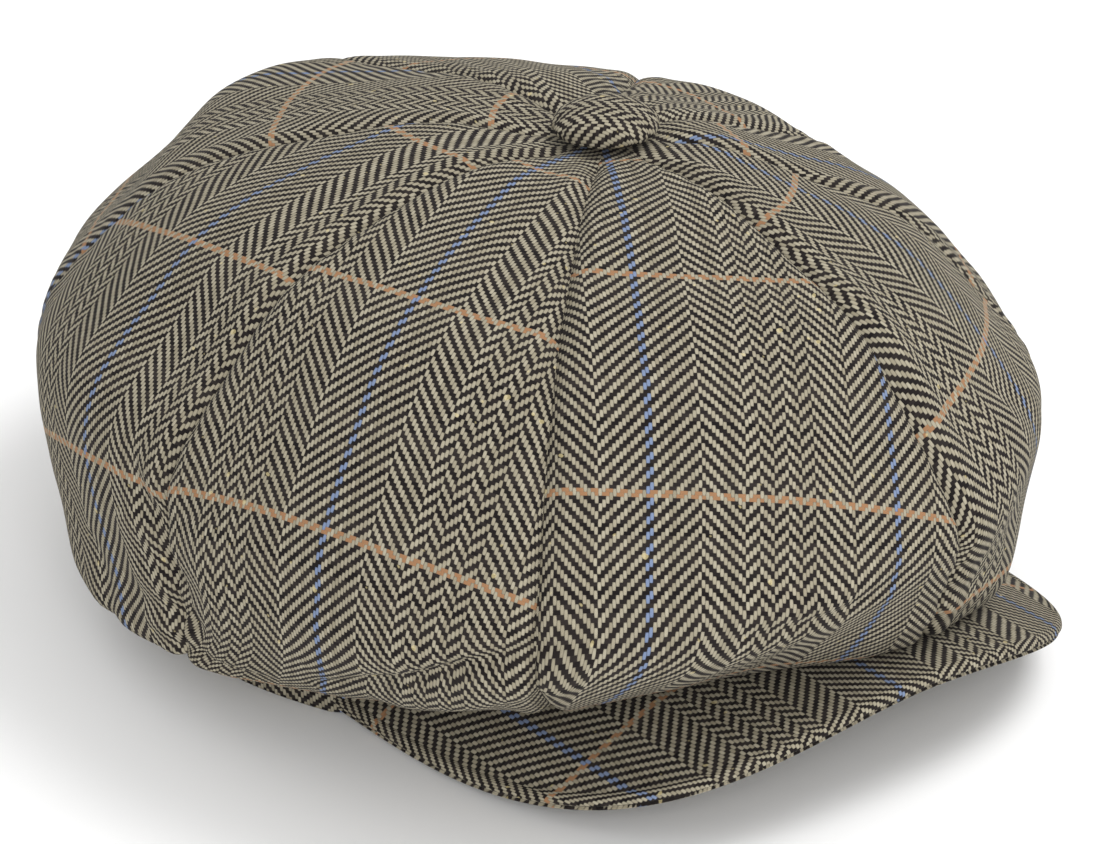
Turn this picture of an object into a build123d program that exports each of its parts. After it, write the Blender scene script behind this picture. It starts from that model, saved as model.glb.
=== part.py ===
"""Eight-panel newsboy cap with a covered button, a stiffened brim, a headband, a sweatband and a lining.

The front of the cap faces -Y, the wearer's left is +X and the crown is up along +Z.
The origin is the middle of the head opening, on the surface that the cap rests on.
Angles go round the cap from the front towards the wearer's left.
All sizes are in millimetres.
"""

import os
from math import asin, cos, degrees, hypot, radians, sin, sqrt

from build123d import *

# Head opening: an ellipse measured on the outside of the headband
HEAD_HALF_LENGTH = 105.0
HEAD_HALF_WIDTH = 88.0
BAND_HEIGHT = 26.0

# Layers of the band, from the outside in
LAYER_GAP = 0.3
OUTER_BAND_THICKNESS = 1.5
INTERLINING_THICKNESS = 0.8
SWEATBAND_THICKNESS = 1.2
SWEATBAND_HEIGHT = 32.0
SWEATBAND_RISE = 0.6
INTERLINING_MARGIN = 2.0

# Crown: the button's place and how far each seam reaches from it, from the front seam round by the left
BUTTON_X = 12.0
BUTTON_Y = -20.0
CROWN_HEIGHT = 121.0
SEAM_REACH = [131.0, 102.0, 96.0, 118.0, 150.0, 144.0, 133.0, 141.0]
SEAM_TUCK = [16.0, 18.0, 12.0, 12.0, 14.0, 13.0, 6.0, 42.0]
# Shape of one seam: share of the reach, drop from the top, and how much of the puff it takes
TOP_SHAPE = [
    (0.25, -2.0, 0.45),
    (0.50, 5.0, 1.0),
    (0.75, 17.0, 0.9),
    (0.92, 37.0, 0.45),
    (1.00, 50.0, 0.0),
]
PUFF_HEIGHT = 5.5
PUFF_DIRECTION = -82.0
SEAM_FOLD = [22.0, 22.0, 22.0, 22.0, 20.0, 17.0, 17.0, 21.0]
FOLD_CLEARANCE = 2.8
SEAM_ROUNDING = [14.0, 13.0, 11.0, 10.0, 10.0, 9.0, 8.0, 14.0]
BAND_LAP = 3.0
CROWN_CLEARANCE = 3.3

PANEL_COUNT = 8
PANEL_ANGLE = 360.0 / PANEL_COUNT
PANEL_THICKNESS = 1.5
PANEL_TIP_RADIUS = 5.0
BUTTON_SEAT_RADIUS = 14.0
SEAM_MARGIN = 0.15
SECTIONS_PER_GORE = 4
LINING_THICKNESS = 0.7
LINING_INSET = 2.2

# Brim: a shallow arch across the cap, with a squared-off front
BRIM_HALF_WIDTH = 86.0
BRIM_PROJECTION = 47.0
BRIM_ARCH = 27.0
BRIM_SIDE_Y = -37.0
BRIM_END_Y = -28.0
BRIM_SQUARENESS = 3.0
BRIM_THICKNESS = 4.4
COVER_SPACE = 0.02
BOARD_THICKNESS = 2.0
BOARD_CLEARANCE = 0.3
BOARD_MARGIN = 2.5
BOARD_END_Y = -50.5
OUTLINE_STEPS = 14

# Covered button
BUTTON_RADIUS = 13.0
BUTTON_HEIGHT = 7.0
BUTTON_CLOTH = 1.1
BUTTON_SHELL = 0.6
BUTTON_BACK_THICKNESS = 0.8
BUTTON_GAP = 0.1
BUTTON_LIFT = 3.2
SHANK_RADIUS = 1.6
SHANK_WIRE = 0.5
THREAD_RADIUS = 0.45

# Ball that the button's dome is cut from, and how far its middle lies below the dome's foot
BUTTON_BALL = (BUTTON_RADIUS**2 + BUTTON_HEIGHT**2) / (2 * BUTTON_HEIGHT)
BUTTON_SUNK = BUTTON_BALL - BUTTON_HEIGHT

PANEL_NAMES = [
    "front_left",
    "left_front",
    "left_back",
    "back_left",
    "back_right",
    "right_back",
    "right_front",
    "front_right",
]


def smooth_curve(before, start, end, after, share):
    """Value between start and end on a smooth curve that also heeds the values on each side."""
    slope_in = (end - before) / 2
    slope_out = (after - start) / 2
    bend = 2 * (start - end) + slope_in + slope_out
    sag = 3 * (end - start) - 2 * slope_in - slope_out
    return start + share * (slope_in + share * (sag + share * bend))


def around(values, angle):
    """Smooth value at an angle, from one value at each seam."""
    place = (angle % 360) / PANEL_ANGLE
    seam = int(place)
    near = [values[(seam + step) % PANEL_COUNT] for step in (-1, 0, 1, 2)]
    return smooth_curve(*near, place - seam)


def band_reach(angle):
    """Distance from the button's axis to the headband's outer face, level, at one angle."""
    ahead_x = sin(radians(angle)) / HEAD_HALF_WIDTH
    ahead_y = -cos(radians(angle)) / HEAD_HALF_LENGTH
    from_x = BUTTON_X / HEAD_HALF_WIDTH
    from_y = BUTTON_Y / HEAD_HALF_LENGTH
    square = ahead_x**2 + ahead_y**2
    slope = from_x * ahead_x + from_y * ahead_y
    short = from_x**2 + from_y**2 - 1
    return (sqrt(slope**2 - square * short) - slope) / square


def brim_underside(x):
    """Height of the brim's lower face."""
    return BRIM_ARCH * (1 - (x / BRIM_HALF_WIDTH) ** 2)


def band_foot(x, y):
    """Height of the headband's lower edge: it climbs over the arched brim."""
    return max(0.0, brim_underside(x)) if y < 0 else 0.0


def seam_stations(angle):
    """Points (reach, height) of the crown's section at one angle, from the tip to the headband."""
    turn = radians(angle)
    reach = around(SEAM_REACH, angle)
    tuck = around(SEAM_TUCK, angle)
    puff = PUFF_HEIGHT * cos(radians(angle - PUFF_DIRECTION))
    fold = around(SEAM_FOLD, angle)
    if cos(turn) > 0:
        brim_top = brim_underside(BUTTON_X + (reach - tuck) * sin(turn)) + BRIM_THICKNESS
        fold = max(fold, brim_top + FOLD_CLEARANCE)
    points = [(PANEL_TIP_RADIUS, CROWN_HEIGHT), (BUTTON_SEAT_RADIUS, CROWN_HEIGHT)]
    points += [(share * reach, CROWN_HEIGHT - drop + take * puff) for share, drop, take in TOP_SHAPE]
    points += [(reach - 0.3 * tuck, fold + around(SEAM_ROUNDING, angle)), (reach - tuck, fold)]
    band = band_reach(angle) + CROWN_CLEARANCE
    foot = band_foot(BUTTON_X + band * sin(turn), BUTTON_Y - band * cos(turn))
    return points + [(band, foot + BAND_HEIGHT - BAND_LAP)]


def inset_points(points, inset):
    """Points of a section moved to the inside of the cloth, square to the curve."""
    moved = []
    for number, (r, z) in enumerate(points):
        before = points[max(number - 1, 0)]
        after = points[min(number + 1, len(points) - 1)]
        along = (after[0] - before[0], after[1] - before[1])
        length = hypot(*along)
        moved.append((r + along[1] / length * inset, z - along[0] / length * inset))
    return moved


def gore(start_angle, inset, thickness):
    """One gore of cloth between two seams, at a depth below the outside of the crown."""
    with BuildPart() as cloth:
        for step in range(SECTIONS_PER_GORE):
            share = step / (SECTIONS_PER_GORE - 1)
            angle = start_angle + SEAM_MARGIN + (PANEL_ANGLE - 2 * SEAM_MARGIN) * share
            ahead = (sin(radians(angle)), -cos(radians(angle)), 0)
            across = (-ahead[1], ahead[0], 0)
            outside = inset_points(seam_stations(angle), inset)
            inside = inset_points(seam_stations(angle), inset + thickness)
            with BuildSketch(Plane((BUTTON_X, BUTTON_Y, 0), ahead, (-across[0], -across[1], 0))):
                with BuildLine():
                    Spline(*outside)
                    Line(outside[-1], inside[-1])
                    Spline(*reversed(inside))
                    Line(inside[0], outside[0])
                make_face()
        loft()
    return cloth.part


def write(part, name):
    """Labels one piece and writes it to its own file."""
    part.label = name
    export_step(part, f"parts/{name}.step")


def brim_outline_point(step, margin, gap):
    """Point of the brim's outer edge, taken in by a margin and let out by a gap, from right to left."""
    turn = radians(-90 + 180 * step / OUTLINE_STEPS)
    depth = HEAD_HALF_LENGTH + BRIM_PROJECTION + BRIM_SIDE_Y - margin + gap
    power = 2 / BRIM_SQUARENESS
    side = -1 if turn < 0 else 1
    x = (BRIM_HALF_WIDTH - margin + gap) * side * abs(sin(turn)) ** power
    return (x, BRIM_SIDE_Y - depth * abs(cos(turn)) ** power)


def brim_outline(margin, gap):
    """Flat outline of the brim, taken in by a margin and let out by a gap."""
    with BuildSketch() as outline:
        with BuildLine():
            points = [brim_outline_point(step, margin, gap) for step in range(OUTLINE_STEPS + 1)]
            right, left = points[0], points[-1]
            Spline(*points)
            Polyline(left, (left[0], BRIM_END_Y), (right[0], BRIM_END_Y), right)
        make_face()
        Ellipse(
            HEAD_HALF_WIDTH + LAYER_GAP + margin - gap,
            HEAD_HALF_LENGTH + LAYER_GAP + margin - gap,
            mode=Mode.SUBTRACT,
        )
        if margin:
            with Locations((0, BOARD_END_Y + gap)):
                Rectangle(
                    4 * HEAD_HALF_LENGTH,
                    2 * HEAD_HALF_LENGTH,
                    align=(Align.CENTER, Align.MIN),
                    mode=Mode.SUBTRACT,
                )
    return outline.sketch


def arch_slab(low, high, front=200.0, back=0.0):
    """Slab that follows the brim's arch, from low to high above the brim's lower face."""
    reach = HEAD_HALF_WIDTH + 10
    edges = [-reach, 0.0, reach]
    lower = [(x, brim_underside(x) + low) for x in edges]
    upper = [(x, brim_underside(x) + high) for x in edges]
    with BuildPart() as slab:
        with BuildSketch(Plane.XZ.offset(back)):
            with BuildLine():
                arch_line(lower)
                Line(lower[-1], upper[-1])
                arch_line(upper)
                Line(upper[0], lower[0])
            make_face()
        extrude(amount=front)
    return slab.part


def arch_line(ends):
    """Parabola through two ends and the crown of the brim's arch."""
    left, top, right = ends
    peak = (top[0], 2 * top[1] - left[1])
    return Bezier(left, peak, right)


def brim_layer(low, high, margin=0.0, gap=0.0):
    """One layer of the brim: its outline, cut from the arched slab."""
    with BuildPart() as layer:
        with BuildSketch(Plane.XY.offset(-BRIM_ARCH)):
            add(brim_outline(margin, gap))
        extrude(amount=3 * BRIM_ARCH)
        add(arch_slab(low, high), mode=Mode.INTERSECT)
    return layer.part


def band_layer(inset, thickness, rise, height):
    """One ring of the headband, whose edges climb over the brim's arch at the front."""
    with BuildPart() as ring:
        with BuildSketch():
            Ellipse(HEAD_HALF_WIDTH - inset, HEAD_HALF_LENGTH - inset)
            Ellipse(
                HEAD_HALF_WIDTH - inset - thickness,
                HEAD_HALF_LENGTH - inset - thickness,
                mode=Mode.SUBTRACT,
            )
        extrude(amount=3 * BAND_HEIGHT)
        split(bisect_by=Plane.XY.offset(rise))
        add(arch_slab(-4 * BAND_HEIGHT, rise), mode=Mode.SUBTRACT)
        add(arch_slab(rise + height, 4 * BAND_HEIGHT), mode=Mode.SUBTRACT)
        with BuildSketch(Plane.XY.offset(rise + height)):
            with Locations((0, 100)):
                Rectangle(400, 200)
        extrude(amount=4 * BAND_HEIGHT, mode=Mode.SUBTRACT)
    return ring.part


os.makedirs("parts", exist_ok=True)

# Crown and lining gores
for number, place in enumerate(PANEL_NAMES):
    with BuildPart() as crown_panel:
        add(gore(number * PANEL_ANGLE, 0.0, PANEL_THICKNESS))
    write(crown_panel.part, f"crown_panel_{place}")

    with BuildPart() as lining_panel:
        add(gore(number * PANEL_ANGLE, LINING_INSET, LINING_THICKNESS))
    write(lining_panel.part, f"lining_panel_{place}")

# Headband: cloth outside, stiff tape between, sweatband inside
with BuildPart() as outer_band:
    add(band_layer(0.0, OUTER_BAND_THICKNESS, 0.0, BAND_HEIGHT))
write(outer_band.part, "outer_band")

interlining_inset = OUTER_BAND_THICKNESS + LAYER_GAP
with BuildPart() as band_interlining:
    add(
        band_layer(
            interlining_inset,
            INTERLINING_THICKNESS,
            INTERLINING_MARGIN,
            BAND_HEIGHT - 2 * INTERLINING_MARGIN,
        )
    )
write(band_interlining.part, "band_interlining")

sweatband_inset = interlining_inset + INTERLINING_THICKNESS + LAYER_GAP
with BuildPart() as sweatband:
    add(band_layer(sweatband_inset, SWEATBAND_THICKNESS, SWEATBAND_RISE, SWEATBAND_HEIGHT))
write(sweatband.part, "sweatband")

# Brim: a board sealed between two cloth covers that meet at the edge
pocket_low = (BRIM_THICKNESS - BOARD_THICKNESS) / 2
pocket = brim_layer(
    pocket_low - BOARD_CLEARANCE,
    pocket_low + BOARD_THICKNESS + BOARD_CLEARANCE,
    BOARD_MARGIN,
    BOARD_CLEARANCE,
)
with BuildPart() as brim_under_cover:
    add(brim_layer(0.0, BRIM_THICKNESS / 2 - COVER_SPACE))
    add(pocket, mode=Mode.SUBTRACT)
write(brim_under_cover.part, "brim_under_cover")

with BuildPart() as brim_top_cover:
    add(brim_layer(BRIM_THICKNESS / 2 + COVER_SPACE, BRIM_THICKNESS))
    add(pocket, mode=Mode.SUBTRACT)
write(brim_top_cover.part, "brim_top_cover")

with BuildPart() as brim_board:
    add(brim_layer(pocket_low, pocket_low + BOARD_THICKNESS, BOARD_MARGIN))
write(brim_board.part, "brim_board")

# Covered button, standing on the tips of the crown gores
button_foot = CROWN_HEIGHT + BUTTON_LIFT
button_plane = Plane((BUTTON_X, BUTTON_Y, button_foot), (1, 0, 0), (0, -1, 0))


def dome(inset, thickness):
    """Hollow cap of a ball, open below, at a depth below the outside of the button."""
    outer_ball = BUTTON_BALL - inset
    inner_ball = outer_ball - thickness
    outer_start = degrees(asin(BUTTON_SUNK / outer_ball))
    inner_start = degrees(asin(BUTTON_SUNK / inner_ball))
    with BuildPart() as shell:
        with BuildSketch(button_plane):
            with BuildLine():
                outer = CenterArc((0, -BUTTON_SUNK), outer_ball, outer_start, 90 - outer_start)
                inner = CenterArc((0, -BUTTON_SUNK), inner_ball, inner_start, 90 - inner_start)
                Line(outer @ 1, inner @ 1)
                Line(outer @ 0, inner @ 0)
            make_face()
        revolve(axis=Axis((BUTTON_X, BUTTON_Y, 0), (0, 0, 1)))
    return shell.part


with BuildPart() as button_cover:
    add(dome(0.0, BUTTON_CLOTH))
write(button_cover.part, "button_cover")

with BuildPart() as button_shell:
    add(dome(BUTTON_CLOTH + BUTTON_GAP, BUTTON_SHELL))
write(button_shell.part, "button_shell")

shell_inside = BUTTON_BALL - BUTTON_CLOTH - BUTTON_GAP - BUTTON_SHELL
back_radius = sqrt(shell_inside**2 - (BUTTON_SUNK + BUTTON_BACK_THICKNESS) ** 2) - 2 * BUTTON_GAP
with BuildPart() as button_back:
    with BuildSketch(Plane.XY.offset(button_foot)):
        with Locations((BUTTON_X, BUTTON_Y)):
            Circle(back_radius)
    extrude(amount=BUTTON_BACK_THICKNESS)
    with BuildSketch(Plane((BUTTON_X + SHANK_RADIUS, BUTTON_Y, button_foot))):
        Circle(SHANK_WIRE)
    revolve(axis=Axis((BUTTON_X, BUTTON_Y, button_foot), (0, 1, 0)), revolution_arc=180)
write(button_back.part, "button_back")

with BuildPart() as button_thread:
    with BuildSketch(button_plane):
        with Locations((SHANK_RADIUS + 1.4, -THREAD_RADIUS)):
            Circle(THREAD_RADIUS)
    revolve(axis=Axis((BUTTON_X, BUTTON_Y, 0), (0, 0, 1)))
write(button_thread.part, "button_thread")
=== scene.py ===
"""Looks of an eight-panel newsboy cap in herringbone tweed, standing on a pale floor.

The front of the cap faces -Y, the wearer's left is +X and the crown is up along +Z.
The origin is the middle of the head opening, on the surface that the cap rests on.
Shapes are worked out in millimetres and turned into metres when a mesh is made.
"""

import math

import bpy
import numpy as np
from mathutils import Matrix, Vector


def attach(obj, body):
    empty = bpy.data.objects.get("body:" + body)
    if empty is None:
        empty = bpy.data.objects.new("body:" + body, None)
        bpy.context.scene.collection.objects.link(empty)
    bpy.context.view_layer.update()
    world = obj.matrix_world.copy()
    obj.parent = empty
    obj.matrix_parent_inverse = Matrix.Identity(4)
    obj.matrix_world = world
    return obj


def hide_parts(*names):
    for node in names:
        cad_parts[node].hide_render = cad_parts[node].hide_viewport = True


# ---------------------------------------------------------------- sizes, in millimetres

HEAD_HALF_LENGTH = 105.0
HEAD_HALF_WIDTH = 88.0
BAND_HEIGHT = 26.0

BUTTON_X = 12.0
BUTTON_Y = -20.0
CROWN_HEIGHT = 121.0
SEAM_REACH = [131.0, 102.0, 96.0, 118.0, 150.0, 144.0, 133.0, 141.0]
SEAM_TUCK = [16.0, 18.0, 12.0, 12.0, 14.0, 13.0, 6.0, 42.0]
# The crown's top: share of the seam's reach, drop below the crown's height, share of the puff
TOP_SHAPE = [
    (0.25, -2.0, 0.45),
    (0.50, 5.0, 1.0),
    (0.75, 17.0, 0.9),
    (0.92, 37.0, 0.45),
    (1.00, 50.0, 0.0),
]
PUFF_HEIGHT = 5.5
PUFF_DIRECTION = -82.0
SEAM_FOLD = [22.0, 22.0, 22.0, 22.0, 20.0, 18.0, 20.5, 21.0]
FOLD_CLEARANCE = 1.4
SEAM_ROUNDING = [14.0, 13.0, 11.0, 10.0, 10.0, 9.0, 8.0, 14.0]
TUCK_AT_ROUNDING = 0.3
BAND_LAP = 3.0
CROWN_CLEARANCE = 2.0
TIP_RADIUS = 2.0
BUTTON_SEAT_RADIUS = 14.0
BUTTON_SEAT_RISE = 0.8
PANEL_ANGLE = 45.0

# The headband flares at the wearer's right side, about this angle
BAND_BULGE = 8.0
BAND_BULGE_AT = 264.0
BAND_BULGE_WIDTH = 24.0
BAND_BULGE_TOP = (6.0, 24.0)

BRIM_HALF_WIDTH = 86.0
BRIM_PROJECTION = 47.0
BRIM_ARCH = 27.0
BRIM_SIDE_Y = -37.0
BRIM_END_Y = -28.0
BRIM_SQUARENESS = 3.0
BRIM_THICKNESS = 4.4
BRIM_GAP = 0.2

BRIM_WEAVE_X = 17.6
BRIM_WEAVE_Y = 111.5

BUTTON_HEIGHT = 7.0
BUTTON_LIFT = 3.2

YARN_PITCH = 0.85
REPEAT_ENDS = 72
REPEAT_PICKS = 70

PANELS = [
    "front_left",
    "left_front",
    "left_back",
    "back_left",
    "back_right",
    "right_back",
    "right_front",
    "front_right",
]


# ---------------------------------------------------------------- curves

def smooth_curve(before, start, end, after, share):
    """Value between start and end on a smooth curve that also heeds the values on each side."""
    slope_in = (end - before) / 2
    slope_out = (after - start) / 2
    bend = 2 * (start - end) + slope_in + slope_out
    sag = 3 * (end - start) - 2 * slope_in - slope_out
    return start + share * (slope_in + share * (sag + share * bend))


def around(values, angle):
    """Smooth value at each angle, from one value at each seam."""
    values = np.array(values)
    place = np.mod(angle, 360) / PANEL_ANGLE
    seam = np.floor(place).astype(int)
    near = [values[(seam + step) % len(values)] for step in (-1, 0, 1, 2)]
    return smooth_curve(*near, place - seam)


def spline(knots, values, wanted):
    """Natural cubic curve through values (one row per knot), read at the wanted places."""
    count = len(knots)
    gap = np.diff(knots)
    system = np.zeros((count, count))
    right = np.zeros_like(values)
    system[0, 0] = 1
    system[-1, -1] = 1
    for k in range(1, count - 1):
        system[k, k - 1] = gap[k - 1]
        system[k, k] = 2 * (gap[k - 1] + gap[k])
        system[k, k + 1] = gap[k]
        rise = (values[k + 1] - values[k]) / gap[k]
        right[k] = 6 * (rise - (values[k] - values[k - 1]) / gap[k - 1])
    bend = np.linalg.solve(system, right)
    span = np.clip(np.searchsorted(knots, wanted, side="right") - 1, 0, count - 2)
    h = gap[span][:, None]
    t = (wanted - knots[span])[:, None]
    low = values[span]
    slope = (values[span + 1] - low) / h - h * (2 * bend[span] + bend[span + 1]) / 6
    return low + t * (slope + t * (bend[span] / 2 + t * (bend[span + 1] - bend[span]) / (6 * h)))


def smooth_step(low, high, x):
    """0 below low, 1 above high, and smooth between them."""
    t = np.clip((x - low) / (high - low), 0, 1)
    return t * t * (3 - 2 * t)


def hump(x, middle, width):
    """Soft bump, 1 at the middle."""
    return np.exp(-(((x - middle) / width) ** 2))


RIPPLE_WAVES = 7


def ripple(points, length, seed):
    """Random smooth waves of about that length, mostly from -1 to 1, at points in space."""
    dice = np.random.default_rng(seed)
    total = np.zeros(points.shape[:-1])
    for _ in range(RIPPLE_WAVES):
        ahead = dice.normal(size=3)
        ahead /= np.linalg.norm(ahead)
        turns = 2 * math.pi / (length * dice.uniform(0.7, 1.4))
        total += np.sin(points @ ahead * turns + dice.uniform(0, 7))
    return total * 2 / RIPPLE_WAVES


# ---------------------------------------------------------------- base shapes

def band_reach(angle):
    """Distance from the button's axis to the headband's outer face, level, at each angle."""
    turn = np.radians(angle)
    ahead_x = np.sin(turn) / HEAD_HALF_WIDTH
    ahead_y = -np.cos(turn) / HEAD_HALF_LENGTH
    from_x = BUTTON_X / HEAD_HALF_WIDTH
    from_y = BUTTON_Y / HEAD_HALF_LENGTH
    square = ahead_x**2 + ahead_y**2
    slope = from_x * ahead_x + from_y * ahead_y
    short = from_x**2 + from_y**2 - 1
    return (np.sqrt(slope**2 - square * short) - slope) / square


def brim_underside(x):
    """Height of the brim's lower face."""
    return BRIM_ARCH * (1 - (x / BRIM_HALF_WIDTH) ** 2)


def band_foot(x, y):
    """Height of the headband's lower edge: it climbs over the arched brim."""
    return np.where(y < 0, np.maximum(0, brim_underside(x)), 0)


def seam_stations(angle):
    """Reach and height of the crown's section at each angle, from the tip to the headband."""
    turn = np.radians(angle)
    reach = around(SEAM_REACH, angle)
    tuck = around(SEAM_TUCK, angle)
    puff = PUFF_HEIGHT * np.cos(np.radians(angle - PUFF_DIRECTION))
    brim_top = brim_underside(BUTTON_X + (reach - tuck) * np.sin(turn)) + BRIM_THICKNESS
    fold = around(SEAM_FOLD, angle)
    over_brim = np.maximum(fold, brim_top + FOLD_CLEARANCE)
    fold = np.where(np.cos(turn) > 0, over_brim, fold)
    level = np.ones_like(reach)
    out = [TIP_RADIUS * level, BUTTON_SEAT_RADIUS * level]
    up = [CROWN_HEIGHT * level, (CROWN_HEIGHT + BUTTON_SEAT_RISE) * level]
    for share, drop, take in TOP_SHAPE:
        out.append(share * reach)
        up.append(CROWN_HEIGHT - drop + take * puff)
    out += [reach - TUCK_AT_ROUNDING * tuck, reach - tuck]
    up += [fold + around(SEAM_ROUNDING, angle), fold]
    band = band_reach(angle) + CROWN_CLEARANCE
    foot = band_foot(BUTTON_X + band * np.sin(turn), BUTTON_Y - band * np.cos(turn))
    out.append(band)
    up.append(foot + BAND_HEIGHT - BAND_LAP)
    return np.array(out), np.array(up)


def section_knots():
    """Distance along the average section of the crown at each station."""
    out, up = seam_stations(np.arange(0, 360, 15.0))
    step = np.hypot(np.diff(out, axis=0), np.diff(up, axis=0)).mean(axis=1)
    return np.concatenate([[0], np.cumsum(step)])


KNOTS = section_knots()


def crown_base(angles, along):
    """Points of the smooth crown, rows along the section and columns round it."""
    out, up = seam_stations(angles)
    out = spline(KNOTS, out, along)
    up = spline(KNOTS, up, along)
    turn = np.radians(angles)
    x = BUTTON_X + out * np.sin(turn)
    y = BUTTON_Y - out * np.cos(turn)
    return np.stack([x, y, up], -1)


def normals(points):
    """Directions square to a grid of points."""
    down = np.gradient(points, axis=0)
    across = np.gradient(points, axis=1)
    square = np.cross(down, across)
    return square / np.maximum(np.linalg.norm(square, axis=-1, keepdims=True), 1e-9)


def brim_edge(margin):
    """Outer edge of the brim from right to left, taken in by a margin: points and outward directions."""
    turn = np.radians(np.linspace(-90, 90, 361))
    depth = HEAD_HALF_LENGTH + BRIM_PROJECTION + BRIM_SIDE_Y
    power = 2 / BRIM_SQUARENESS
    x = BRIM_HALF_WIDTH * np.sign(turn) * np.abs(np.sin(turn)) ** power
    y = BRIM_SIDE_Y - depth * np.abs(np.cos(turn)) ** power
    x = np.concatenate([[-BRIM_HALF_WIDTH], x, [BRIM_HALF_WIDTH]])
    y = np.concatenate([[BRIM_END_Y], y, [BRIM_END_Y]])
    run = np.concatenate([[0], np.cumsum(np.hypot(np.diff(x), np.diff(y)))])
    even = np.linspace(0, run[-1], 241)
    x = np.interp(even, run, x)
    y = np.interp(even, run, y)
    ahead = np.stack([np.gradient(x), np.gradient(y)], -1)
    ahead /= np.linalg.norm(ahead, axis=-1, keepdims=True)
    out = np.stack([ahead[:, 1], -ahead[:, 0]], -1)
    return np.stack([x, y], -1) - margin * out, out


# ---------------------------------------------------------------- meshes

def make_mesh(name, points, grain):
    """Mesh from a grid of points in millimetres, with the cloth's own coordinates in the map grain."""
    rows, cols = points.shape[:2]
    row, col = np.meshgrid(np.arange(rows - 1), np.arange(cols - 1), indexing="ij")
    first = (row * cols + col).ravel()
    faces = np.stack([first, first + cols, first + cols + 1, first + 1], -1)
    mesh = bpy.data.meshes.new(name)
    mesh.from_pydata((points.reshape(-1, 3) / 1000).tolist(), [], faces.tolist())
    layer = mesh.uv_layers.new(name="grain")
    flat = grain.reshape(-1, 2)[faces.ravel()]
    layer.data.foreach_set("uv", flat.astype(np.float32).ravel())
    mesh.polygons.foreach_set("use_smooth", [True] * len(mesh.polygons))
    piece = bpy.data.objects.new(name, mesh)
    bpy.context.scene.collection.objects.link(piece)
    return piece


def arc_lengths(points, axis):
    """Distance along a grid's rows or columns."""
    step = np.linalg.norm(np.diff(points, axis=axis), axis=-1)
    run = np.cumsum(step, axis=axis)
    pad = [(0, 0), (0, 0)]
    pad[axis] = (1, 0)
    return np.pad(run, pad)


def add_cloth(piece, node):
    """Puts one cloth piece on the root body and hides the CAD node that it stands in for."""
    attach(piece, "root")
    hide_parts(node)


# ---------------------------------------------------------------- crown

# Each gore's weave against its own middle line: turn of the ends and of the picks in degrees, shift
# across and along in millimetres, and how far the ends lean over at the lower fold
WEAVE_PLACES = {
    "front_left": (-3.0, -3.0, 5.0, 10.5, 0.0),
    "left_front": (4.0, 4.0, 20.0, 30.0, 0.0),
    "left_back": (-6.0, -6.0, 40.0, 10.0, 0.0),
    "back_left": (3.0, 3.0, 30.0, 44.0, 0.0),
    "back_right": (191.0, 191.0, 36.0, 29.5, 0.0),
    "right_back": (16.0, 16.0, 38.5, 18.0, 0.0),
    "right_front": (1.5, 0.5, 14.2, 30.0, 14.0),
    "front_right": (-10.8, -13.0, 13.0, 46.5, 0.0),
}
WEAVE_BOW = 0.0027
LEAN_PLACE = (0.76, 0.92)
GRAIN_SMOOTHINGS = 3

GORE_COLUMNS = 61
GORE_ROWS = 190
SEAM_CROWDING = 1.25
LINING_COLUMNS = 25
LINING_ROWS = 90
LINING_DROP = 4.4
LINING_FOLD = 0.6

PANEL_BULGE = 1.3
SEAM_DEPTH = 2.7
SEAM_WIDTH = 1.7
SEAM_ROLL = 0.5
PUCKER_HEIGHT = 0.3
PUCKER_LENGTH = 9.5
PUCKER_REACH = 8.0
GATHER_HEIGHT = 0.7
# Slack in the cloth: height, length of its waves and seed
SLACK = ((0.45, 46, 3), (0.22, 21, 5))
DEEPEST = 3.4
# Radius at which angles along a crease are turned into millimetres
CREASE_REACH = 128.0

# Soft dents and swells of the crown: angle, place along the section, width round, width along, height
SWELLS = [
    (-22.0, 95.0, 20.0, 34.0, 1.2),
    (190.0, 101.0, 17.0, 17.0, 4.6),
    (208.0, 117.0, 9.0, 12.0, -2.2),
    (233.0, 160.0, 16.0, 18.0, -1.8),
    (156.0, 89.0, 14.0, 16.0, -2.6),
    (21.0, 160.0, 9.0, 13.0, -3.2),
    (40.0, 144.0, 12.0, 14.0, 1.2),
    (17.0, 184.0, 12.0, 10.0, 2.0),
    (81.0, 101.0, 14.0, 16.0, -1.2),
    (252.0, 188.0, 16.0, 14.0, 3.0),
    (262.0, 113.0, 9.0, 15.0, -2.2),
    (250.0, 130.0, 10.0, 12.0, 1.4),
]

# Short waves beside a seam: angle, place along the section, half length, length of a wave, height
GATHERS = [
    (270.0, 176.0, 30.0, 11.0, 0.9),
    (315.0, 196.0, 16.0, 9.0, 0.6),
    (0.0, 186.0, 16.0, 9.0, 0.5),
]

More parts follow.
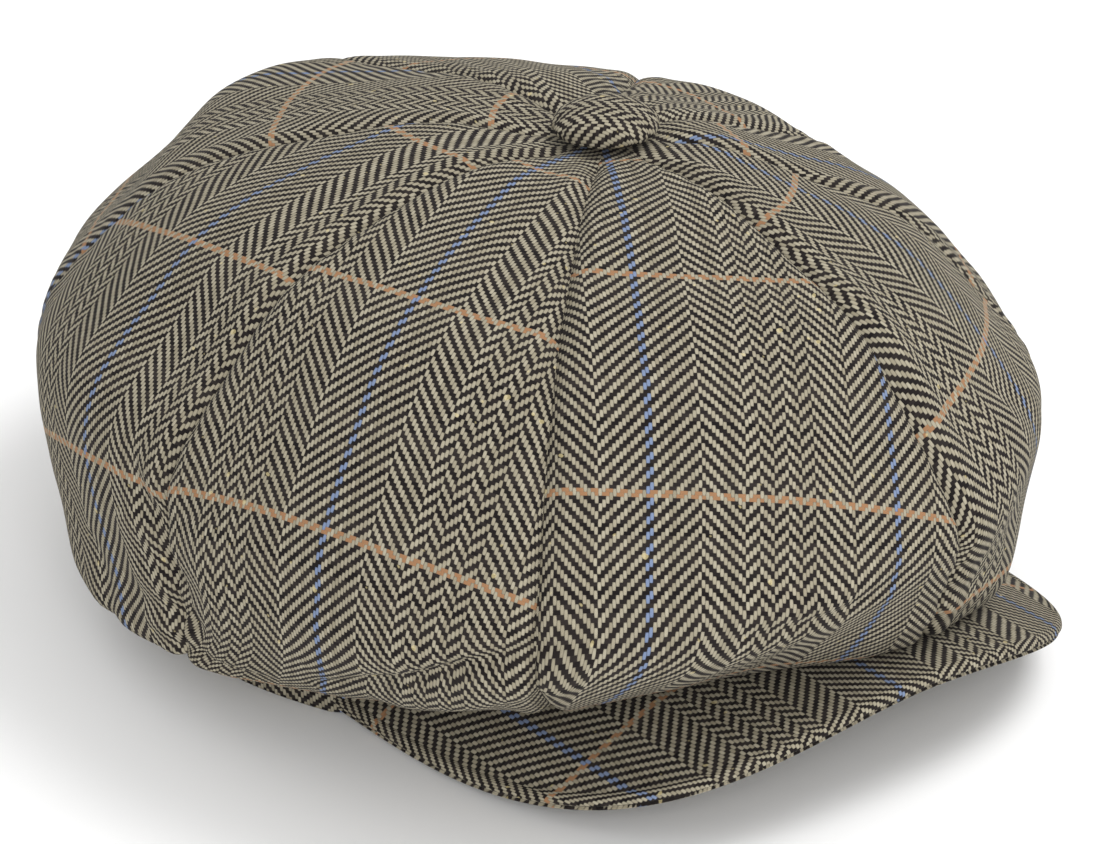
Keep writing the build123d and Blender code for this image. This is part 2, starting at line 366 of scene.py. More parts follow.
# Creases and ridges: height, width and the path as angles and places along the section
CREASES = [
    (-3.0, 3.6, ((262.0, 141.0), (268.0, 152.0), (272.0, 168.0), (273.0, 186.0))),
    (2.4, 8.0, ((276.0, 146.0), (279.0, 162.0), (279.0, 184.0))),
    (1.6, 6.0, ((262.0, 156.0), (266.0, 172.0), (267.0, 188.0))),
    (-1.6, 4.5, ((253.0, 168.0), (256.0, 180.0), (257.0, 196.0))),
    (
        -3.4,
        2.6,
        ((289.0, 182.0), (295.0, 177.0), (303.0, 169.0), (309.0, 161.0), (315.0, 154.5), (321.0, 155.0)),
    ),
    (1.8, 5.5, ((290.0, 172.0), (303.0, 159.0), (311.0, 152.0), (318.0, 147.0))),
    (2.6, 5.5, ((296.0, 186.0), (305.0, 177.0), (312.0, 168.0), (320.0, 164.0))),
    (-1.2, 4.0, ((330.0, 158.0), (343.0, 160.0), (352.0, 152.0))),
    (1.0, 5.0, ((328.0, 150.0), (342.0, 152.0), (352.0, 144.0))),
    (-1.3, 5.0, ((283.0, 160.0), (289.0, 152.0), (297.0, 149.0))),
    (-0.9, 4.0, ((305.0, 40.0), (302.0, 62.0), (304.0, 84.0))),
    (-1.0, 4.5, ((12.0, 118.0), (20.0, 132.0), (24.0, 150.0))),
]

# Cloth rolled over a seam: angle, upper gore, place along the section, half length, overlap, height
LIPS = [
    (0.0, 0, 112.0, 30.0, 3.4, 2.6),
    (315.0, 6, 199.0, 12.0, 2.0, 1.6),
]


def crown_relief(number, angles, along, share, points, out):
    """Height of one gore's cloth above the smooth crown."""
    gap_share = np.minimum(share, 1 - share)
    from_seam = gap_share[None, :] * math.radians(PANEL_ANGLE) * out
    whole = KNOTS[-1]
    place = (along / whole)[:, None]
    body = smooth_step(0.08, 0.32, place) * (1 - smooth_step(0.72, 0.9, place))
    bulge = PANEL_BULGE * body * (1 - (2 * share[None, :] - 1) ** 2)
    groove = SEAM_ROLL * np.exp(-(((from_seam - 5) / 3) ** 2))
    groove = groove - SEAM_DEPTH * np.exp(-((from_seam / SEAM_WIDTH) ** 1.1))
    groove = groove * smooth_step(9, 22, out) * (0.75 + 0.25 * np.cos(np.radians(angles)))
    nearest = number + (share > 0.5)
    phase = (nearest * 2.4)[None, :]
    beat = 0.55 + 0.45 * np.sin(along / 23 + nearest[:, None] * 1.7).T
    turns = along[:, None] * 2 * math.pi / PUCKER_LENGTH + phase + 1.3 * np.sin(along / 31)[:, None]
    pucker = PUCKER_HEIGHT * beat * np.sin(turns)
    pucker = pucker * np.exp(-from_seam / PUCKER_REACH) * smooth_step(12, 30, out)
    slack = sum(height * ripple(points, length, seed) for height, length, seed in SLACK)
    slack = slack * smooth_step(14, 45, out)
    gather = smooth_step(0.6, 0.82, place) * GATHER_HEIGHT * ripple(points * [1, 1, 0.3], 34, 8)
    relief = bulge + groove + pucker + slack + gather
    for at, line, wide, long, height in SWELLS:
        off = np.mod(angles - at + 180, 360) - 180
        relief = relief + height * hump(off, 0, wide)[None, :] * hump(along, line, long)[:, None]
    for height, wide, path in CREASES:
        away, part = near_path(angles, along, path)
        relief = relief + height * np.exp(-((away / wide) ** 2)) * np.sqrt(np.sin(math.pi * part))
    for seam, line, long, step_long, height in GATHERS:
        off = np.mod(angles - seam + 180, 360) - 180
        side = np.radians(np.abs(off))[None, :] * out
        waves = np.sin(along / step_long * 2 * math.pi + 0.8 * np.sin(along / 17))
        waves = (waves * hump(along, line, long))[:, None]
        relief = relief + height * waves * np.exp(-side / 13)
    return np.where(relief < 0, -DEEPEST * np.tanh(-relief / DEEPEST), relief)


def near_path(angles, along, path):
    """Distance in millimetres of each point of the crown from a path, and its share along the path."""
    places = np.array(path)
    places[:, 0] = np.radians(places[:, 0] - path[0][0]) * CREASE_REACH
    off = np.mod(angles - path[0][0] + 180, 360) - 180
    spot = np.stack(np.meshgrid(np.radians(off) * CREASE_REACH, along), -1)
    steps = np.hypot(*np.diff(places, axis=0).T)
    nearest = np.full(spot.shape[:2], 1e9)
    share = np.zeros(spot.shape[:2])
    run = 0.0
    for start, end, step in zip(places[:-1], places[1:], steps):
        part = np.clip(((spot - start) @ (end - start)) / step**2, 0, 1)
        away = np.linalg.norm(spot - start - part[..., None] * (end - start), axis=-1)
        share = np.where(away < nearest, (run + part * step) / steps.sum(), share)
        nearest = np.minimum(nearest, away)
        run += step
    return nearest, share


def seam_lip(number, angles, along, points, out):
    """Sideways and outward shift of the cloth where one gore folds over the next."""
    sideways = np.gradient(points, axis=1)
    sideways /= np.linalg.norm(sideways, axis=-1, keepdims=True)
    shift = np.zeros_like(points)
    for seam, upper, line, long, over, rise in LIPS:
        off = np.mod(angles - seam + 180, 360) - 180
        if np.abs(off).min() > 1:
            continue
        side = np.radians(np.abs(off))[None, :] * out
        reach = hump(along, line, long)[:, None]
        if number == upper:
            roll = np.exp(-side / 9) * over
            lift = np.exp(-(((side - 4.5) / 5.5) ** 2)) * rise
            shift = shift + (reach * roll)[..., None] * sideways * np.sign(-off[len(off) // 2])
            shift = shift + (reach * lift)[..., None] * normals(points)
        else:
            sink = -0.25 * rise * np.exp(-side / 6)
            shift = shift + (reach * sink)[..., None] * normals(points)
    return shift


def crown_gore(number):
    """Points and weave coordinates of one gore."""
    name = PANELS[number]
    even = np.linspace(-1, 1, GORE_COLUMNS)
    share = 0.5 + 0.5 * np.sign(even) * (1 - (1 - np.abs(even)) ** SEAM_CROWDING)
    angles = PANEL_ANGLE * (number + share)
    along = np.linspace(0, KNOTS[-1], GORE_ROWS)
    points = crown_base(angles, along)
    out = np.hypot(points[..., 0] - BUTTON_X, points[..., 1] - BUTTON_Y)
    relief = crown_relief(number, angles, along, share, points, out)
    moved = points + normals(points) * relief[..., None] + seam_lip(number, angles, along, points, out)
    middle = len(share) // 2
    across = arc_lengths(moved, 1)
    across = across - across[:, middle : middle + 1]
    for _ in range(GRAIN_SMOOTHINGS):
        across[2:-2] = (across[:-4] + across[1:-3] + across[2:-2] + across[3:-1] + across[4:]) / 5
    down = arc_lengths(points, 0)[:, middle : middle + 1] - WEAVE_BOW * across**2
    turn_x, turn_y, shift_x, shift_y, lean = WEAVE_PLACES[name]
    turn_x = math.radians(turn_x)
    turn_y = math.radians(turn_y)
    lean = lean * smooth_step(*LEAN_PLACE, along / KNOTS[-1])[:, None]
    x = across * math.cos(turn_x) - down * math.sin(turn_x) + shift_x + lean
    y = across * math.sin(turn_y) + down * math.cos(turn_y) + shift_y
    flat = (np.ptp(across, axis=1).max(), arc_lengths(points, 0)[-1, middle])
    return moved, np.stack([x, y], -1), flat


def lining_gore(number):
    """Points and weave coordinates of one lining gore, which hangs inside the crown."""
    share = np.linspace(0, 1, LINING_COLUMNS)
    angles = PANEL_ANGLE * (number + share)
    along = np.linspace(0, KNOTS[-1], LINING_ROWS)
    points = crown_base(angles, along)
    out = np.hypot(points[..., 0] - BUTTON_X, points[..., 1] - BUTTON_Y)
    drop = LINING_DROP + 0.5 * ripple(points, 30, 21) * smooth_step(10, 40, out)
    fold = LINING_FOLD * np.abs(2 * share[None, :] - 1) ** 6 * smooth_step(10, 30, out)
    moved = points - normals(points) * (drop + fold)[..., None]
    middle = LINING_COLUMNS // 2
    across = arc_lengths(points, 1)
    across = across - across[:, middle : middle + 1]
    down = np.broadcast_to(arc_lengths(points, 0)[:, middle : middle + 1], across.shape)
    flat = (np.ptp(across, axis=1).max(), down[-1, 0])
    return moved, np.stack([across, down], -1), flat


# ---------------------------------------------------------------- brim

BRIM_ROWS = 44
EDGE_ROWS = 16
# How far round the edge each cover turns, in degrees
TOP_COVER_TURN = 112
UNDER_COVER_TURN = 66
EDGE_PINCH = 0.9
EDGE_PINCH_TURN = 22
BRIM_DIP = 0.22


def brim_cover(top):
    """Points and weave coordinates of the brim's top or under cover, with its rounded edge."""
    half = BRIM_THICKNESS / 2
    edge, out = brim_edge(half)
    turn = np.arctan2(edge[:, 0], BRIM_END_Y - 1 - edge[:, 1])
    turn = np.clip(turn, -math.pi / 2, math.pi / 2)
    wide = HEAD_HALF_WIDTH + BRIM_GAP
    long = HEAD_HALF_LENGTH + BRIM_GAP
    start_y = BRIM_END_Y - 1
    square = (np.sin(turn) / wide) ** 2 + (np.cos(turn) / long) ** 2
    slope = -start_y * np.cos(turn) / long**2
    short = (start_y / long) ** 2 - 1
    reach = (-slope + np.sqrt(slope**2 - square * short)) / square
    inner = np.stack([reach * np.sin(turn), start_y - reach * np.cos(turn)], -1)
    rows = []
    for part in np.linspace(0, 1, BRIM_ROWS):
        flat = inner + (edge - inner) * part
        level = np.stack([flat[:, 0], flat[:, 1], np.zeros(len(flat))], -1)
        dip = BRIM_DIP * ripple(level, 38, 31 + top)
        dip = dip * math.sin(math.pi * part)
        height = brim_underside(flat[:, 0]) + (BRIM_THICKNESS + dip if top else -0.3 * dip)
        rows.append(np.stack([flat[:, 0], flat[:, 1], height], -1))
    last = TOP_COVER_TURN if top else UNDER_COVER_TURN
    for angle in np.linspace(0, last, EDGE_ROWS)[1:]:
        curve = math.radians(angle)
        pinch = smooth_step(last - EDGE_PINCH_TURN, last, angle) * EDGE_PINCH
        flat = edge + out * (math.sin(curve) * half - pinch)
        height = half + math.cos(curve) * half * (1 if top else -1)
        rows.append(np.stack([flat[:, 0], flat[:, 1], brim_underside(edge[:, 0]) + height], -1))
    points = np.array(rows)
    if not top:
        points = points[:, ::-1]
    run = arc_lengths(points, 0)
    past = np.maximum(0, run - run[BRIM_ROWS - 1])
    direction = out if top else out[::-1]
    x = points[..., 0] + past * direction[None, :, 0]
    y = points[..., 1] + past * direction[None, :, 1]
    flat = (np.ptp(x), np.ptp(y))
    return points, np.stack([x + BRIM_WEAVE_X, y + BRIM_WEAVE_Y], -1), flat


# ---------------------------------------------------------------- bands

# Profiles of the bands: inset from the headband's outer face and height above its foot
TAPE_PROFILE = [(2.5, 2.0), (2.5, BAND_HEIGHT - 2)]
SWEATBAND_PROFILE = [
    (2.9, 2.4),
    (2.9, 1.2),
    (3.3, 0.7),
    (3.9, 1.2),
    (4.1, 3.0),
    (4.2, 12.0),
    (4.3, 22.0),
    (4.2, 30.0),
    (4.0, 31.8),
    (3.5, 32.5),
    (3.0, 31.8),
    (2.95, 28.0),
]
BAND_GRAIN_SHIFT = 6.0


def band_ring(profile, grain_shift=0.0):
    """Ring that follows the headband, from a profile of (inset, height above the foot) points."""
    turn = np.radians(np.linspace(0, 360, 361))
    rows = []
    run = 0.0
    before = None
    ups = []
    off = np.degrees(turn) - BAND_BULGE_AT
    swell = BAND_BULGE * np.exp(-((off / BAND_BULGE_WIDTH) ** 2))
    for inset, height in profile:
        wide = swell * (1 - smooth_step(*BAND_BULGE_TOP, height))
        x = (HEAD_HALF_WIDTH - inset + wide) * np.sin(turn)
        y = -(HEAD_HALF_LENGTH - inset + wide) * np.cos(turn)
        rows.append(np.stack([x, y, band_foot(x, y) + height], -1))
        if before:
            run += math.hypot(inset - before[0], height - before[1])
        before = (inset, height)
        ups.append(run)
    points = np.array(rows)
    around_run = arc_lengths(points, 1)
    level = around_run[0] / around_run[0, -1] * around_run[:, -1].mean()
    x = np.broadcast_to(level, points.shape[:2]) + grain_shift
    y = np.broadcast_to(np.array(ups)[:, None], points.shape[:2])
    flat = (level[-1], run)
    return points, np.stack([x, y], -1), flat


def rounded(inset, height, radius, start, end, steps=7):
    """Points of a rounded turn in a band's profile."""
    turns = np.radians(np.linspace(start, end, steps))
    return [(inset - radius * math.cos(t), height + radius * math.sin(t)) for t in turns]


# ---------------------------------------------------------------- materials

CREAM_YARN = ((0.275, 0.248, 0.180, 1), (0.395, 0.362, 0.275, 1))
CREAM_SHADED = (0.235, 0.198, 0.138, 1)
DARK_YARN = ((0.010, 0.008, 0.008, 1), (0.027, 0.022, 0.020, 1))
BLUE_YARN = (0.175, 0.225, 0.345, 1)
TAN_YARN = (0.29, 0.155, 0.08, 1)
# Near-black painted shade, laid over the cream floats towards their edges and ends
YARN_EDGE_SHADE = (0.012, 0.009, 0.008, 1)
FLECK = (0.62, 0.52, 0.27, 1)
SATIN_COLOURS = ((0.010, 0.011, 0.016, 1), (0.022, 0.023, 0.031, 1))
SWEATBAND_PALE = (0.030, 0.030, 0.036, 1)
SWEATBAND_DARK = (0.006, 0.006, 0.008, 1)
TAPE_PALE = (0.62, 0.58, 0.50, 1)
TAPE_DARK = (0.42, 0.38, 0.31, 1)
BOARD_COLOUR = (0.035, 0.035, 0.04)
METAL_COLOUR = (0.50, 0.49, 0.46)
THREAD_COLOUR = (0.34, 0.145, 0.05)

# Columns where the herringbone runs back: first end in the repeat, and number of ends
BACK_COLUMNS = ((28.0, 12.0), (44.0, 4.0), (52.0, 4.0), (60.0, 12.0))
# Middles of the two blue ends and the two tan picks in the repeat, and the reach that takes in two
BLUE_PLACE = 13.5
TAN_PLACE = REPEAT_PICKS - 1.5
PAIR_REACH = 0.6
YARN_CROWN = 0.42
FUZZ = 1.3
WARP_BIAS = 0.10


class Nodes:
    """Short ways of adding shader nodes to one material."""

    def __init__(self, name):
        self.material = bpy.data.materials.new(name)
        self.material.use_nodes = True
        self.tree = self.material.node_tree
        self.tree.nodes.clear()

    def add(self, kind, **settings):
        node = self.tree.nodes.new(kind)
        for key, value in settings.items():
            setattr(node, key, value)
        return node

    def link(self, value, socket):
        if isinstance(value, bpy.types.NodeSocket):
            self.tree.links.new(value, socket)
        else:
            socket.default_value = value

    def math(self, operation, *values, clamp=False):
        node = self.add("ShaderNodeMath", operation=operation, use_clamp=clamp)
        for value, socket in zip(values, node.inputs):
            self.link(value, socket)
        return node.outputs[0]

    def mix(self, share, first, second):
        node = self.add("ShaderNodeMix", data_type="RGBA")
        self.link(share, node.inputs[0])
        self.link(first, node.inputs[6])
        self.link(second, node.inputs[7])
        return node.outputs[2]

    def grain(self):
        """The cloth's own coordinates, in millimetres: a pair of sockets."""
        uv = self.add("ShaderNodeUVMap", uv_map="grain")
        split = self.add("ShaderNodeSeparateXYZ")
        self.tree.links.new(uv.outputs[0], split.inputs[0])
        return split.outputs[0], split.outputs[1]

    def place(self, x, y, z=0.0):
        node = self.add("ShaderNodeCombineXYZ")
        for value, socket in zip((x, y, z), node.inputs):
            self.link(value, socket)
        return node.outputs[0]

    def noise(self, vector, scale, detail=2.0):
        node = self.add("ShaderNodeTexNoise")
        self.link(vector, node.inputs["Vector"])
        self.link(scale, node.inputs["Scale"])
        self.link(detail, node.inputs["Detail"])
        return node.outputs["Fac"]

    def dice(self, value, shift):
        """Random number from 0 to 1 for each whole number."""
        node = self.add("ShaderNodeTexWhiteNoise", noise_dimensions="1D")
        self.link(self.math("ADD", value, shift), node.inputs["W"])
        return node.outputs["Value"]

    def finish(
        self, colour, height, depth, roughness=0.9, sheen=0.0, strength=1.0, metallic=0.0, gloss=0.3
    ):
        """Closes the material with a principled shader and a bump of that depth in millimetres."""
        shader = self.add("ShaderNodeBsdfPrincipled")
        self.link(colour, shader.inputs["Base Color"])
        shader.inputs["Metallic"].default_value = metallic
        shader.inputs["Sheen Weight"].default_value = sheen
        shader.inputs["Sheen Roughness"].default_value = 0.5
        shader.inputs["Specular IOR Level"].default_value = gloss
        self.link(roughness, shader.inputs["Roughness"])
        if height is not None:
            bump = self.add("ShaderNodeBump")
            bump.inputs["Strength"].default_value = strength
            bump.inputs["Distance"].default_value = depth / 1000
            self.link(height, bump.inputs["Height"])
            self.tree.links.new(bump.outputs[0], shader.inputs["Normal"])
        output = self.add("ShaderNodeOutputMaterial")
        self.tree.links.new(shader.outputs[0], output.inputs[0])
        return self.material


def tweed_material():
    """Broken herringbone in cream and near-black, with blue ends and tan picks."""
    n = Nodes("tweed")
    x_mm, y_mm = n.grain()
    wander = n.place(n.math("MULTIPLY", x_mm, 0.02), n.math("MULTIPLY", y_mm, 0.02))
    sway = n.math("SUBTRACT", n.noise(wander, 4.0, 1.0), 0.5)
    x = n.math("DIVIDE", x_mm, YARN_PITCH)
    x = n.math("ADD", x, n.math("MULTIPLY", sway, 0.7))
    y = n.math("DIVIDE", y_mm, -YARN_PITCH)
    y = n.math("ADD", y, n.math("MULTIPLY", sway, 0.6))
    end = n.math("FLOOR", x)
    pick = n.math("FLOOR", y)

    def step_of(ends):
        """Herringbone step, which runs up in one column and down in the next."""
        inside = n.math("FLOORED_MODULO", ends, float(REPEAT_ENDS))
        total = inside
        for start, width in BACK_COLUMNS:
            past = n.math("SUBTRACT", inside, start)
            held = n.math("MINIMUM", n.math("MAXIMUM", past, 0.0), width)
            total = n.math("SUBTRACT", total, n.math("MULTIPLY", held, 2.0))
        return total

    quarter = math.pi / 2
    far_side = step_of(n.math("ADD", end, 0.999))
    near_side = step_of(n.math("ADD", end, 0.001))
    slant = n.math("SIGN", n.math("SUBTRACT", far_side, near_side))
    warp_place = n.math("SUBTRACT", n.math("ADD", y, 0.5), step_of(n.math("ADD", end, 0.5)))
    warp_wave = n.math("SINE", n.math("MULTIPLY", warp_place, quarter))
    weft_place = n.math("SUBTRACT", n.math("ADD", pick, 1.0), step_of(x))
    weft_wave = n.math("SINE", n.math("MULTIPLY", weft_place, quarter))

    def round_of(value, whole):
        """Rounded top of a yarn across its width."""
        off = n.math("SUBTRACT", n.math("SUBTRACT", value, whole), 0.5)
        twice = n.math("MULTIPLY", off, 2.0)
        return n.math("SUBTRACT", 1.0, n.math("MULTIPLY", twice, twice))

    warp_round = round_of(x, end)
    weft_round = round_of(y, pick)

    def height_of(wave, way, yarn_round):
        """Height of a yarn that floats where its wave is high."""
        wave = n.math("MULTIPLY", slant, wave)
        return n.math("MULTIPLY_ADD", wave, way, n.math("MULTIPLY", yarn_round, YARN_CROWN))

    warp_high = height_of(warp_wave, 1.0, warp_round)
    weft_high = height_of(weft_wave, -1.0, weft_round)
    fuzz_place = n.place(x, y)
    fuzz = n.math("SUBTRACT", n.noise(fuzz_place, 1.7, 2.0), 0.5)
    gap = n.math("ADD", n.math("SUBTRACT", warp_high, weft_high), n.math("MULTIPLY", fuzz, FUZZ))
    gap = n.math("SUBTRACT", gap, WARP_BIAS)
    warp_on = n.math("MULTIPLY_ADD", gap, 1.5, 0.5, clamp=True)
    height = n.math("MAXIMUM", warp_high, weft_high)

    warp_dice = n.dice(end, 0.5)
    weft_dice = n.dice(pick, 0.5)
    tone = n.noise(n.place(n.math("MULTIPLY", end, 5.3), n.math("MULTIPLY", y, 0.22)), 1.0, 1.0)
    cream = n.mix(warp_dice, *CREAM_YARN)
    cream = n.mix(n.math("MULTIPLY_ADD", tone, 0.9, -0.2, clamp=True), cream, CREAM_SHADED)
    inside = n.math("FLOORED_MODULO", end, float(REPEAT_ENDS))
    blue_on = n.math("COMPARE", inside, BLUE_PLACE, PAIR_REACH)
    warp_colour = n.mix(blue_on, cream, BLUE_YARN)
    dark = n.mix(weft_dice, *DARK_YARN)
    inside = n.math("FLOORED_MODULO", pick, float(REPEAT_PICKS))
    tan_on = n.math("COMPARE", inside, TAN_PLACE, PAIR_REACH)
    weft_colour = n.mix(tan_on, dark, TAN_YARN)
    colour = n.mix(warp_on, weft_colour, warp_colour)
    # Painted shade: each cream float is darkened towards its edges and ends, as if shaded by its own
    # round form
    side = n.math("MULTIPLY_ADD", warp_round, 0.5, 0.58)
    float_shade = n.math("MULTIPLY", n.math("MULTIPLY_ADD", warp_high, 0.5, 0.55), side)
    float_shade = n.math("MAXIMUM", n.math("MINIMUM", float_shade, 1.0), n.math("SUBTRACT", 1.0, warp_on))
    colour = n.mix(float_shade, YARN_EDGE_SHADE, colour)
    fleck = n.noise(n.place(n.math("MULTIPLY", x, 0.35), n.math("MULTIPLY", y, 0.35)), 1.0, 0.0)
    fleck_on = n.math("MULTIPLY_ADD", fleck, 30.0, -24.0, clamp=True)
    colour = n.mix(n.math("MULTIPLY", fleck_on, 0.5), colour, FLECK)
    hair = n.noise(fuzz_place, 7.0, 2.0)
    relief = n.math("ADD", n.math("MULTIPLY", height, 0.5), n.math("MULTIPLY", hair, 0.35))
    return n.finish(colour, relief, 0.17, roughness=0.93, sheen=0.02, strength=0.75, gloss=0.10)


def satin_material():
    """Dark satin of the lining."""
    n = Nodes("satin")
    x, y = n.grain()
    fine = n.noise(n.place(n.math("MULTIPLY", x, 6.0), n.math("MULTIPLY", y, 0.5)), 1.0, 2.0)
    wide = n.noise(n.place(x, y), 0.05, 2.0)
    colour = n.mix(wide, *SATIN_COLOURS)
    rough = n.math("MULTIPLY_ADD", fine, 0.2, 0.28)
    return n.finish(colour, fine, 0.03, roughness=rough, sheen=0.1, strength=0.5)


def twill_material(name, pale, dark, rib=0.9):
    """Ribbed tape."""
    n = Nodes(name)
    x, y = n.grain()
    slope = n.math("DIVIDE", n.math("ADD", x, y), rib)
    ribs = n.math("PINGPONG", slope, 0.5)
    thread = n.noise(n.place(x, y), 2.2, 2.0)
    share = n.math("MULTIPLY_ADD", ribs, 1.2, n.math("MULTIPLY", thread, 0.4), clamp=True)
    colour = n.mix(share, dark, pale)
    height = n.math("ADD", ribs, n.math("MULTIPLY", thread, 0.4))
    return n.finish(colour, height, 0.16, roughness=0.85, sheen=0.1, strength=0.8)


def plain_material(name, colour, rough, metallic=0.0):
    """Smooth hard material with faint uneven colour, laid out in space."""
    n = Nodes(name)
    place = n.add("ShaderNodeNewGeometry").outputs["Position"]
    fine = n.noise(place, 900.0, 3.0)
    pale = tuple(min(1.0, c * 1.25 + 0.01) for c in colour)
    mixed = n.mix(fine, (*colour, 1), (*pale, 1))
    return n.finish(mixed, fine, 0.03, roughness=rough, strength=0.4, metallic=metallic)


def yarn_material(name, colour):
    """Twisted sewing thread."""
    n = Nodes(name)
    x, y = n.grain()
    twist = n.math("PINGPONG", n.math("MULTIPLY_ADD", x, 1.6, n.math("MULTIPLY", y, 1.1)), 0.5)
    pale = tuple(min(1.0, c * 1.6 + 0.02) for c in colour)
    mixed = n.mix(n.math("MULTIPLY", twist, 2.0), (*colour, 1), (*pale, 1))
    return n.finish(mixed, twist, 0.08, roughness=0.8, sheen=0.2, strength=0.6)


# ---------------------------------------------------------------- small pieces

# The button's cloth from its middle to its turned-under rim: radius and height from the top
BUTTON_PROFILE = [
    (0.0, 0.0),
    (2.0, -0.03),
    (4.5, -0.3),
    (7.0, -0.9),
    (9.4, -1.8),
    (11.4, -3.1),
    (12.8, -4.7),
    (13.2, -6.0),
    (12.8, -7.0),
    (11.6, -7.5),
    (9.4, -7.4),
]
BUTTON_GRAIN_TURN = 38
BUTTON_GRAIN_X = 44.0
BUTTON_GRAIN_Y = 20.0

THREAD_RADIUS = 0.32
THREAD_TURNS = 4
THREAD_SPAN = (3.4, 4.6)
THREAD_RISE = 2.4
THREAD_DROP = 0.9


def disc_cover():
    """Cloth over the button: a soft dome whose rim is gathered and turned under."""
    turn = np.radians(np.linspace(0, 360, 97))
    knots = np.arange(len(BUTTON_PROFILE), dtype=float)
    curve = spline(knots, np.array(BUTTON_PROFILE), np.linspace(0, knots[-1], 46))
    rows = []
    for radius, drop in curve:
        rim = smooth_step(6.5, 12.0, radius)
        pleat = 0.20 * rim * np.sin(13 * turn + 1.4 * np.sin(3 * turn))
        pleat = pleat + 0.12 * rim * np.sin(29 * turn + 2.0)
        x = BUTTON_X + (radius + pleat) * np.sin(turn)
        y = BUTTON_Y - (radius + pleat) * np.cos(turn)
        z = np.full_like(x, CROWN_HEIGHT + BUTTON_LIFT + BUTTON_HEIGHT + drop)
        rows.append(np.stack([x, y, z], -1))
    points = np.array(rows)
    run = arc_lengths(points, 0)
    x = run * np.sin(turn)[None, :]
    y = run * np.cos(turn)[None, :]
    tip = math.radians(BUTTON_GRAIN_TURN)
    grain_x = x * math.cos(tip) - y * math.sin(tip) + BUTTON_GRAIN_X
    grain_y = x * math.sin(tip) + y * math.cos(tip) + BUTTON_GRAIN_Y
    return points, np.stack([grain_x, grain_y], -1), (2 * run[-1, 0], 2 * run[-1, 0])


def tube_along(name, path, radius, material, sides=8):
    """Round thread that follows a path in millimetres."""
    path = np.array(path, float)
    ahead = np.gradient(path, axis=0)
    ahead /= np.maximum(np.linalg.norm(ahead, axis=1, keepdims=True), 1e-9)
    up = np.array([0.0, 0.0, 1.0])
    side = np.cross(ahead, up)
    side /= np.maximum(np.linalg.norm(side, axis=1, keepdims=True), 1e-9)
    other = np.cross(side, ahead)
    rows = []
    for turn in np.linspace(0, 2 * math.pi, sides + 1):
        rows.append(path + radius * (math.cos(turn) * side + math.sin(turn) * other))
    points = np.array(rows)
    run = arc_lengths(points, 1)
    grain = np.stack([run, np.broadcast_to(np.linspace(0, 1, sides + 1)[:, None] * 3, run.shape)], -1)
    piece = make_mesh(name, points, grain)
    piece.data.materials.append(material)
    return piece


def wraps_of_thread():
    """Thread wound round under the button, which ties it to the crown."""
    turn = np.linspace(0, 2 * math.pi * THREAD_TURNS, 260)
    share = turn / turn[-1]
    first, spread = THREAD_SPAN
    radius = first + spread * share + 0.3 * np.sin(turn * 0.7)
    x = BUTTON_X + radius * np.sin(turn)
    y = BUTTON_Y - radius * np.cos(turn)
    z = CROWN_HEIGHT + THREAD_RISE - THREAD_DROP * share
    return np.stack([x, y, z], -1)


# ---------------------------------------------------------------- the cap

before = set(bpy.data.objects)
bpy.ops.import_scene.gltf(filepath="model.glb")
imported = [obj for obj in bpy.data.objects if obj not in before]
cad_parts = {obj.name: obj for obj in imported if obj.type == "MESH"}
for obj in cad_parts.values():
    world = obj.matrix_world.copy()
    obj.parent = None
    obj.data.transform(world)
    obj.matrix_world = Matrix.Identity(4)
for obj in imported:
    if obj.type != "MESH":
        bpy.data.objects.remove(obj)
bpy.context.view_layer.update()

tweed = tweed_material()
satin = satin_material()
sweat_twill = twill_material("sweatband_twill", SWEATBAND_PALE, SWEATBAND_DARK)
buckram = twill_material("buckram", TAPE_PALE, TAPE_DARK, rib=1.4)
board = plain_material("board", BOARD_COLOUR, 0.6)
metal = plain_material("metal", METAL_COLOUR, 0.38, metallic=1.0)
sewing = yarn_material("sewing_thread", THREAD_COLOUR)

for number, panel in enumerate(PANELS):
    points, grain, flat = crown_gore(number)
    piece = make_mesh(f"crown_{panel}", points, grain)
    piece.data.materials.append(tweed)
    add_cloth(piece, f"crown_panel_{panel}")

    points, grain, flat = lining_gore(number)
    piece = make_mesh(f"lining_{panel}", points, grain)
    piece.data.materials.append(satin)
    add_cloth(piece, f"lining_panel_{panel}")

band_profile = [(0.3, BAND_HEIGHT), (0.0, 18.0), (-0.3, 10.0), (0.0, 3.0)]
band_profile += rounded(0.9, 1.2, 1.0, 0, -180)[1:]
band_profile += [(2.0, 4.0), (2.1, 9.0)]
points, grain, flat = band_ring(band_profile, BAND_GRAIN_SHIFT)
piece = make_mesh("band_cloth", points, grain)
piece.data.materials.append(tweed)
add_cloth(piece, "outer_band")

points, grain, flat = band_ring(TAPE_PROFILE)
piece = make_mesh("band_tape", points, grain)
piece.data.materials.append(buckram)
add_cloth(piece, "band_interlining")

points, grain, flat = band_ring(SWEATBAND_PROFILE)
piece = make_mesh("sweatband_tape", points, grain)
piece.data.materials.append(sweat_twill)
add_cloth(piece, "sweatband")

for top, node in ((True, "brim_top_cover"), (False, "brim_under_cover")):
    points, grain, flat = brim_cover(top)
    piece = make_mesh("brim_top" if top else "brim_under", points, grain)
    piece.data.materials.append(tweed)
    add_cloth(piece, node)

points, grain, flat = disc_cover()
piece = make_mesh("button_cloth", points, grain)
piece.data.materials.append(tweed)
add_cloth(piece, "button_cover")

thread = tube_along("button_wraps", wraps_of_thread(), THREAD_RADIUS, sewing)
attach(thread, "root")
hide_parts("button_thread")

for node, material, slot in (
    ("brim_board", board, "brim_board"),
    ("button_shell", metal, "button_metal"),
    ("button_back", metal, "button_metal"),
):
    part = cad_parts[node]
    part.data.materials.clear()
    part.data.materials.append(material)

# ---------------------------------------------------------------- floor, light and camera, in metres

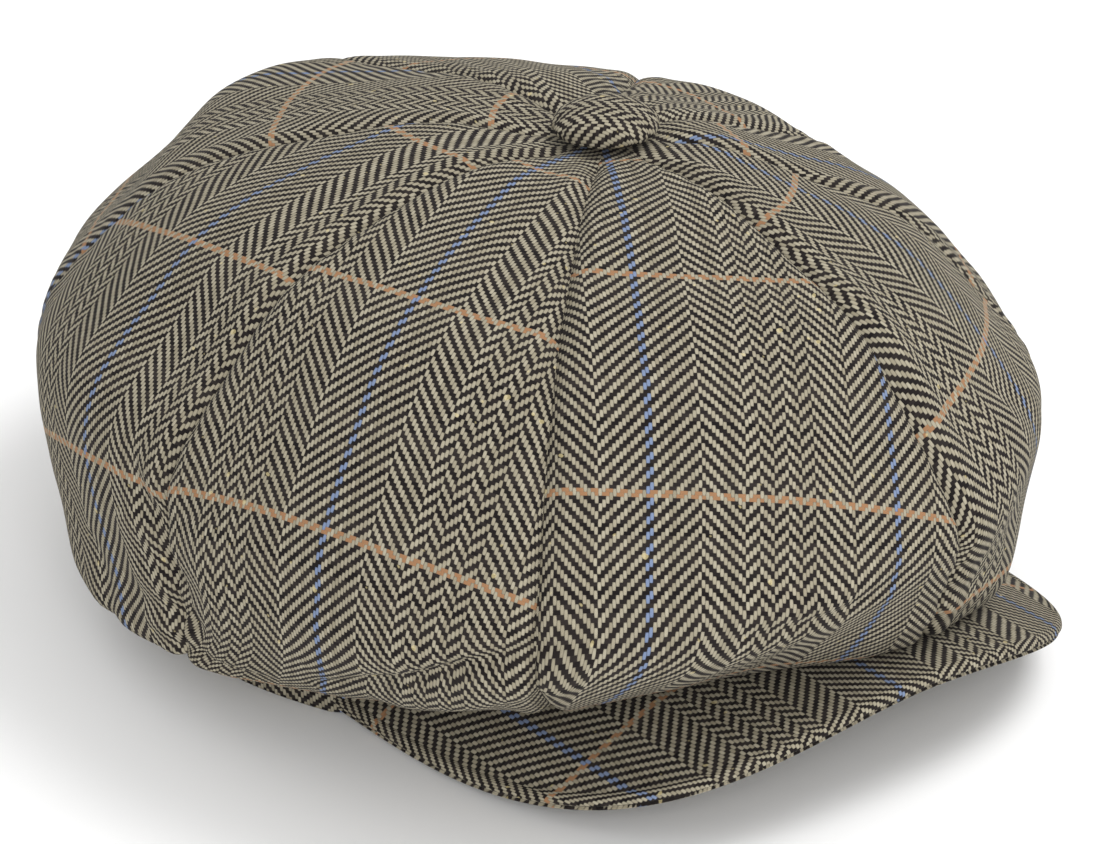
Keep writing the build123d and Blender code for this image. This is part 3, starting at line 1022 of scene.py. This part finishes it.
FLOOR_REACH = 6.0
FLOOR_COLOUR = (0.93, 0.93, 0.93, 1)
WORLD_STRENGTH = 0.88
LIGHT_AIM = (0, 0, 0.05)

CAMERA_AZIMUTH = -37.16
CAMERA_ELEVATION = 26.79
CAMERA_DISTANCE = 1.157
CAMERA_ROLL = -0.83
CAMERA_PIVOT = (0, 0, 0.05)
CAMERA_AIM = (0.0027, -0.0079, 0.0409)
LENS_MM = 148.4
SENSOR_MM = 36.0


def add_light(name, place, size, power):
    """Soft square white light that points at the cap."""
    lamp = bpy.data.lights.new(name, "AREA")
    lamp.shape = "SQUARE"
    lamp.size = size
    lamp.energy = power
    holder = bpy.data.objects.new(name, lamp)
    holder.location = place
    holder.rotation_mode = "QUATERNION"
    holder.rotation_quaternion = (Vector(place) - Vector(LIGHT_AIM)).to_track_quat("Z", "Y")
    bpy.context.scene.collection.objects.link(holder)


floor_mesh = bpy.data.meshes.new("floor")
corners = [(FLOOR_REACH * x, FLOOR_REACH * y, 0) for x, y in ((-1, -1), (1, -1), (1, 1), (-1, 1))]
floor_mesh.from_pydata(corners, [], [(0, 1, 2, 3)])
floor = bpy.data.objects.new("floor", floor_mesh)
bpy.context.scene.collection.objects.link(floor)
paper = Nodes("paper")
floor_mesh.materials.append(paper.finish(FLOOR_COLOUR, None, 0.0, roughness=0.95))

world = bpy.data.worlds.new("studio")
world.use_nodes = True
sky = world.node_tree.nodes["Background"]
sky.inputs["Color"].default_value = (1.0, 1.0, 1.0, 1)
sky.inputs["Strength"].default_value = WORLD_STRENGTH
bpy.context.scene.world = world
bpy.context.scene.view_settings.view_transform = "Standard"

add_light("key", (0.8, -0.5, 1.6), 0.9, 17.0)
add_light("front", (-1.0, -1.4, 0.75), 1.0, 12.5)

azimuth = math.radians(CAMERA_AZIMUTH)
elevation = math.radians(CAMERA_ELEVATION)
level_back = (math.sin(azimuth) * math.cos(elevation), -math.cos(azimuth) * math.cos(elevation))
back = Vector((*level_back, math.sin(elevation)))
lens = bpy.data.cameras.new("camera")
lens.lens = LENS_MM
lens.sensor_width = SENSOR_MM
lens.clip_start = 0.05
lens.clip_end = 30.0
camera = bpy.data.objects.new("camera", lens)
camera.location = Vector(CAMERA_PIVOT) + back * CAMERA_DISTANCE
aim = camera.location - Vector(CAMERA_AIM)
camera.rotation_mode = "QUATERNION"
level = aim.to_track_quat("Z", "Y")
roll = Matrix.Rotation(math.radians(CAMERA_ROLL), 3, "Z").to_quaternion()
camera.rotation_quaternion = level @ roll
bpy.context.scene.collection.objects.link(camera)
bpy.context.scene.camera = camera
